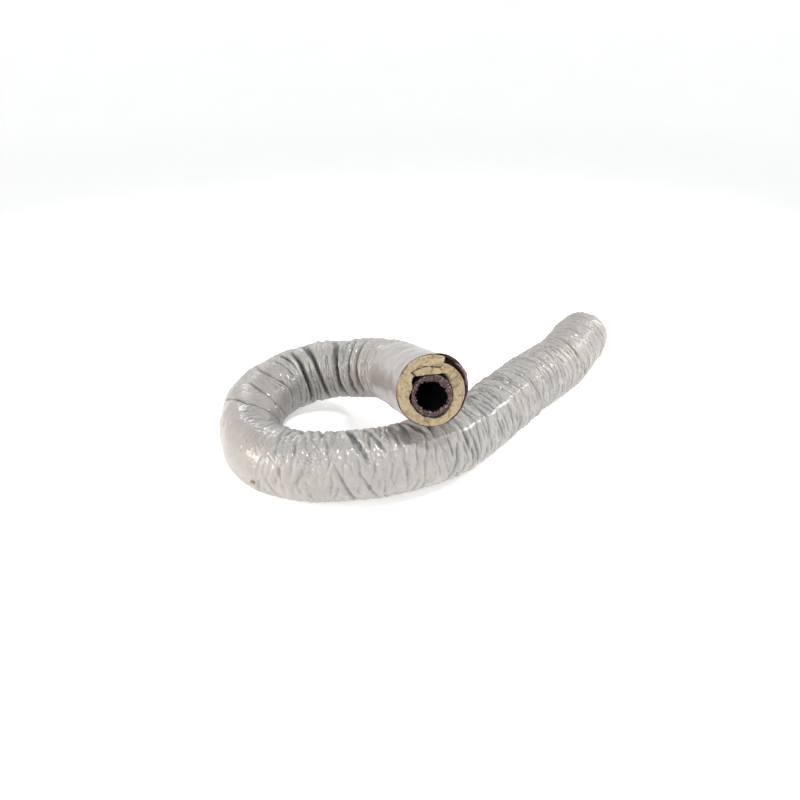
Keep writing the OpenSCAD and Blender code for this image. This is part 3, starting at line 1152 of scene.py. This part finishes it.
def blanket_end(name, end, body, sag, flap, turn, seed):
    """The last of the blanket. It is one long batt wrapped a little more than once round the core:
    its outer end stops in a square step, and its inner end is a flat flap across the top of the core.
    turn rotates the whole pattern."""
    columns, layers, wall_rings = 240, 34, 5
    spot = even_angles(columns)
    seen = wrap(spot - turn)
    degrees = np.degrees(seen)
    duct_angle = (spot - end.zero) * end.sign
    inside_film = np.abs(end.distance - np.linspace(0, END_LENGTH, 16))
    room = wool_surface(inside_film, duct_angle).min(0)

    # how far the batt stops short of the film: most beside the square step, less below it
    short = np.where((degrees > 10) & (degrees < 62), 20 - 15.5 * ramp_up(degrees, 62, 12) ** 0.7, 1.0)
    short = np.where((degrees > -75) & (degrees <= 10), 1.5 + 3.0 * ramp_up(degrees, -75, 10), short)
    outer = np.minimum(WOOL_R - short * MM, room + 0.2 * MM)
    outer = outer + 0.4 * MM * np.clip(radial_noise(spot, 0.0, 9, seed) - 0.6, -3, 0)

    core_across = CORE_R + 0.8 * MM
    half_chord = np.sqrt(np.clip(core_across ** 2 - (sag * np.cos(seen)) ** 2, 0, None))
    along_core = half_chord - sag * np.sin(seen)
    corner = sum(gap * bell(seen, middle, half) for middle, half, gap in CORNERS) * MM
    flat = np.where(seen > 0.1, flap / np.clip(np.sin(seen), 0.05, None), 1.0)
    inner = np.minimum(along_core + corner + 1.1 * MM * np.abs(radial_noise(spot, 0.0, 12, seed + 1)), flat)

    share = np.linspace(0, 1, layers)[None, :]
    radius = inner[:, None] * (1 - share) + outer[:, None] * share
    seam_r = inner + (0.42 + 0.05 * np.sin(4 * seen)) * (outer - inner)
    broken = np.clip(0.75 + 0.6 * radial_noise(spot, 0.0, 14, seed + 2, 2.0), 0.15, 1)
    lap = ramp_up(degrees, 56, 63) * ramp_up(degrees, 137, 132) * broken
    seam = lap[:, None] * np.exp(-((radius - seam_r[:, None]) / (1.3 * MM)) ** 2)
    across_notch = wrap(seen - math.radians(134))[:, None] * radius
    inside_seam = ramp_up(radius, seam_r[:, None] + 2 * MM, seam_r[:, None] - 2 * MM)
    notch = np.exp(-(across_notch / (2.0 * MM)) ** 2) * inside_seam
    cracks = np.zeros_like(radius)
    for middle, size in CRACKS:
        line = wrap(seen - math.radians(middle))[:, None] * radius + 0.8 * MM * np.sin(radius * 700)
        cracks += np.exp(-(line / (1.3 * MM)) ** 2) * np.clip(1 - share / size, 0, 1) * 0.8
    lumps = (radial_noise(spot[:, None], radius, 26, seed + 3) * 1.5
             + radial_noise(spot[:, None] * 3, radius * 1.7, 16, seed + 4) * 0.9)
    rounding = 3.0 * ramp_up(share, 0.88, 1.0) ** 2 + 4.0 * ramp_up(share, 0.10, 0.0) ** 2
    lower_lap = 4 * (ramp_up(degrees, 66, 54) * ramp_up(degrees, -20, 5))[:, None]
    # painted shade for the cracks, the lapped seam and the notch, where shade falls in them
    dark = np.clip(seam * 0.9 + notch + cracks, 0, 1)
    depth = (1.8 + lumps - rounding - lower_lap - 8 * np.clip(seam + notch, 0, 1) - 4 * cracks) * MM

    rings, laid, ring_shades = [], [], []

    def add_ring(level, ring_radius, level_shade):
        rings.append(end.place(level, ring_radius * np.cos(spot), ring_radius * np.sin(spot)))
        laid.append(straight_place(ring_radius + np.minimum(level, 0), spot, WOOL_R))
        ring_shades.append(level_shade + 0 * spot)

    # the wall against the core gets half the painted shade, and the outer wall none
    for k in range(wall_rings, 0, -1):
        wall = k / wall_rings
        add_ring(depth[:, 0] * (1 - wall) - END_LENGTH * wall, inner, 0.5)
    for k in range(layers):
        add_ring(depth[:, k], radius[:, k], dark[:, k])
    for k in range(1, wall_rings + 1):
        wall = k / wall_rings
        add_ring(depth[:, -1] * (1 - wall) - END_LENGTH * wall, outer, 0.0)
    piece = add_mesh(name, rings, grid_faces(len(rings), columns, closed_rows=True)[:, ::-1], laid,
                     [WOOL_MATERIAL])
    store(piece.data, "painted_crack_shade", np.array(ring_shades).ravel())
    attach(piece, body)
    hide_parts(f"insulation_{body}")


blanket_end("blanket_end_mouth", MOUTH, "mouth", MOUTH_SAG, MOUTH_FLAP, 0.0, 21)
blanket_end("blanket_end_tail", TAIL, "tail_end", 0.0, CORE_R + 1.0 * MM, math.radians(-150), 33)


# ---------------------------------------------------------------- the gathered rim of the core
RIM_T = 0.45 * MM
# Gap between the rim and the flap of wool on top of it
FLAP_GAP = 1.5 * MM


def core_rim(name, end, body, sag, flap, wide_at, seed):
    """The core's film past its last turn of wire: gathered into pleats and turned in raggedly."""
    columns = 300
    spot = even_angles(columns)
    waves = np.random.default_rng(seed)
    width = (13.0 + 7.0 * bell(spot, wide_at, 75) + 2.0 * bell(spot, wide_at + 190, 70)) * MM
    teeth = np.clip(radial_noise(spot, 0.0, 14, seed, 2.4), -1.8, 1.8) * 2.0 * MM
    pleat = np.zeros(columns)
    for turns in (31, 37, 44, 53):
        pleat += np.sin(turns * spot + waves.uniform(0, 6.3)
                        + 1.3 * np.sin(3 * spot + waves.uniform(0, 6.3)))
    pleat = np.tanh(pleat * 0.8)
    # share of the width turned in, depth, and how much the pleats show, from inside the blanket to the lip
    profile = [(0.0, -26, 0.0), (0.0, -14, 0.2), (-0.02, -6, 0.5), (0.0, -1.5, 0.8), (0.10, 1.6, 1.0),
               (0.28, 3.0, 1.0), (0.48, 2.8, 1.0), (0.68, 1.4, 1.1), (0.86, -0.6, 1.2), (1.0, -2.8, 1.3)]
    front, laid = [], []
    for share, depth, show in profile:
        ragged = teeth * np.clip((share - 0.5) * 2, 0, 1)
        radius = CORE_R + 0.4 * MM - share * width - ragged + 0.35 * MM * show * pleat
        level = depth * MM + 1.1 * MM * show * pleat * np.clip(share * 3, 0.15, 1)
        front.append((radius, level))
        laid.append(straight_place(share * width + level, spot, BORE_R))
    back = [(radius - RIM_T, level - RIM_T) for radius, level in front]
    outer, inner = ([end.place(level, radius * np.cos(spot),
                               np.minimum(radius * np.sin(spot) - sag, flap - FLAP_GAP))
                     for radius, level in side] for side in (front, back))
    piece = add_wall(name, outer, inner, laid, laid, OUTER_PLY_MATERIAL)
    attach(piece, body)
    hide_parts(f"outer_ply_{body}")


core_rim("core_rim_mouth", MOUTH, "mouth", MOUTH_SAG, MOUTH_FLAP, 60, 5)
core_rim("core_rim_tail", TAIL, "tail_end", 0.0, 1.0, 250, 9)


# ---------------------------------------------------------------- a loose fold of the film's lining
def lining_fold():
    """A loop of the jacket's inner face that stands out of the gap beside the blanket."""
    across, round_ = 46, 12
    angle = np.radians(np.linspace(2, 44, across))
    swell = np.sin(np.linspace(0, math.pi, across)) ** 0.8
    waves = 0.5 * np.sin(np.linspace(0, 19, across)) + 0.35 * np.sin(np.linspace(1, 33, across))
    turn = even_angles(round_)
    thick = (0.7 + 3.4 * swell + 0.4 * waves)[:, None] * MM
    centre_r = (WOOL_R - 1.2 * MM + 4.6 * MM * swell + 0.6 * MM * waves)[:, None]
    radius = centre_r + thick * np.cos(turn)[None]
    depth = (-5.0 + 5.4 * swell)[:, None] * MM + 1.6 * thick * np.sin(turn)[None]
    points = MOUTH.place(depth, radius * np.cos(angle)[:, None], radius * np.sin(angle)[:, None])
    laid = straight_place(depth * 2, angle[:, None], WOOL_R)
    piece = add_mesh("lining_fold_mouth", points, grid_faces(across, round_)[:, ::-1], laid,
                     [LINING_MATERIAL], caps=tube_caps(across, round_))
    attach(piece, "mouth")


lining_fold()


# ---------------------------------------------------------------- a tuft of wool through a tear in the film
# Its distance and angle on the duct
TUFT_PLACE = (1.425, -12)


def wool_tuft():
    """Short bent fibres that stand out of a small tear low on the left of the loop."""
    fibres, steps, sides = 70, 5, 3
    row = int(round(TUFT_PLACE[0] / ROW_STEP))
    column = int(round(TUFT_PLACE[1] / 360 * COLUMNS)) % COLUMNS
    root = FILM[row, column] - OUT[row, column] * 1.5 * MM
    out, ahead = OUT[row, column], LINE.ahead[row]
    over = np.cross(out, ahead)
    turn = even_angles(sides)
    share = np.linspace(0, 1, steps)
    points, laid, faces = [], [], []
    for k in range(fibres):
        base = root + ahead * rng.uniform(-7, 7) * MM + over * rng.uniform(-3.5, 3.5) * MM
        lean = ahead * rng.normal(0, 0.5) + over * rng.normal(0, 0.5)
        length = rng.uniform(5, 9) * MM
        bend = rng.uniform(-0.2, 0.6) * length
        width = rng.uniform(0.25, 0.5) * MM
        line = (base + (out + lean) * (share * length)[:, None]
                - np.array([0, 0, 1.0]) * (share ** 2 * bend)[:, None])
        line[:, 2] = np.maximum(line[:, 2], 1.0 * MM)
        taper = (width * (1 - 0.9 * share))[:, None, None]
        ring = ahead * np.cos(turn)[:, None] + over * np.sin(turn)[:, None]
        points.append((line[:, None] + taper * ring).reshape(-1, 3))
        laid.append(points[-1] + k * 0.01)
        faces.append(grid_faces(steps, sides) + k * steps * sides)
    tip = (steps - 1) * sides
    caps = [[k * steps * sides + c for c in order] for k in range(fibres)
            for order in ((2, 1, 0), (tip, tip + 1, tip + 2))]
    piece = add_mesh("wool_tuft", np.concatenate(points), np.concatenate(faces), np.concatenate(laid),
                     [WOOL_MATERIAL], caps=caps)
    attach(piece, "front_loop")


wool_tuft()


# ---------------------------------------------------------------- backdrop and light
def make_backdrop():
    """A round sheet of seamless paper that turns up into a wall on every side."""
    floor, bend, top, turns = 7.0, 3.0, 9.0, 96
    arc = np.radians(np.linspace(0, 90, 16))
    radii = np.concatenate([[0.5, 2.5], floor + bend * np.sin(arc), [floor + bend]])
    heights = np.concatenate([[0.0, 0.0], bend - bend * np.cos(arc), [top]])
    spin = even_angles(turns)
    points = np.stack([radii[:, None] * np.cos(spin), radii[:, None] * np.sin(spin),
                       heights[:, None] + 0 * spin], -1)
    backdrop = add_mesh("backdrop", points, grid_faces(len(radii), turns)[:, ::-1], points,
                        [floor_material()], caps=[range(turns)])


def area_light(name, place, target, size, power, colour):
    data = bpy.data.lights.new(name, "AREA")
    data.shape = "RECTANGLE"
    data.size, data.size_y = size
    data.energy = power
    data.color = colour
    light = add_object(name, data)
    light.location = place
    light.rotation_euler = (Vector(target) - Vector(place)).to_track_quat("-Z", "Y").to_euler()


def make_lights():
    world = bpy.data.worlds.new("studio")
    world.use_nodes = True
    world.node_tree.nodes["Background"].inputs["Color"].default_value = (0.90, 0.95, 1.0, 1)
    world.node_tree.nodes["Background"].inputs["Strength"].default_value = 0.20
    bpy.context.scene.world = world
    area_light("overhead", (0.45, -0.85, 2.2), (0, 0, 0), (0.40, 0.20), 36, (0.97, 0.99, 1.0))
    area_light("key_left", (-2.15, -1.0, 0.75), (-0.4, -0.15, 0.1), (0.8, 0.7), 27, (1.0, 0.90, 0.78))
    area_light("right", (2.15, 0.5, 1.45), (0.3, 0.0, 0.1), (0.7, 0.18), 36, (1.0, 0.96, 0.91))
    area_light("front", (-0.6, -2.9, 1.7), (-0.1, -0.2, 0.1), (0.7, 0.4), 19, (1.0, 0.97, 0.93))
    area_light("back_left", (-1.4, 1.9, 1.9), (-0.1, 0, 0.1), (0.6, 0.6), 13, (0.90, 0.95, 1.0))
    bpy.context.scene.view_settings.view_transform = "Standard"


make_backdrop()
make_lights()
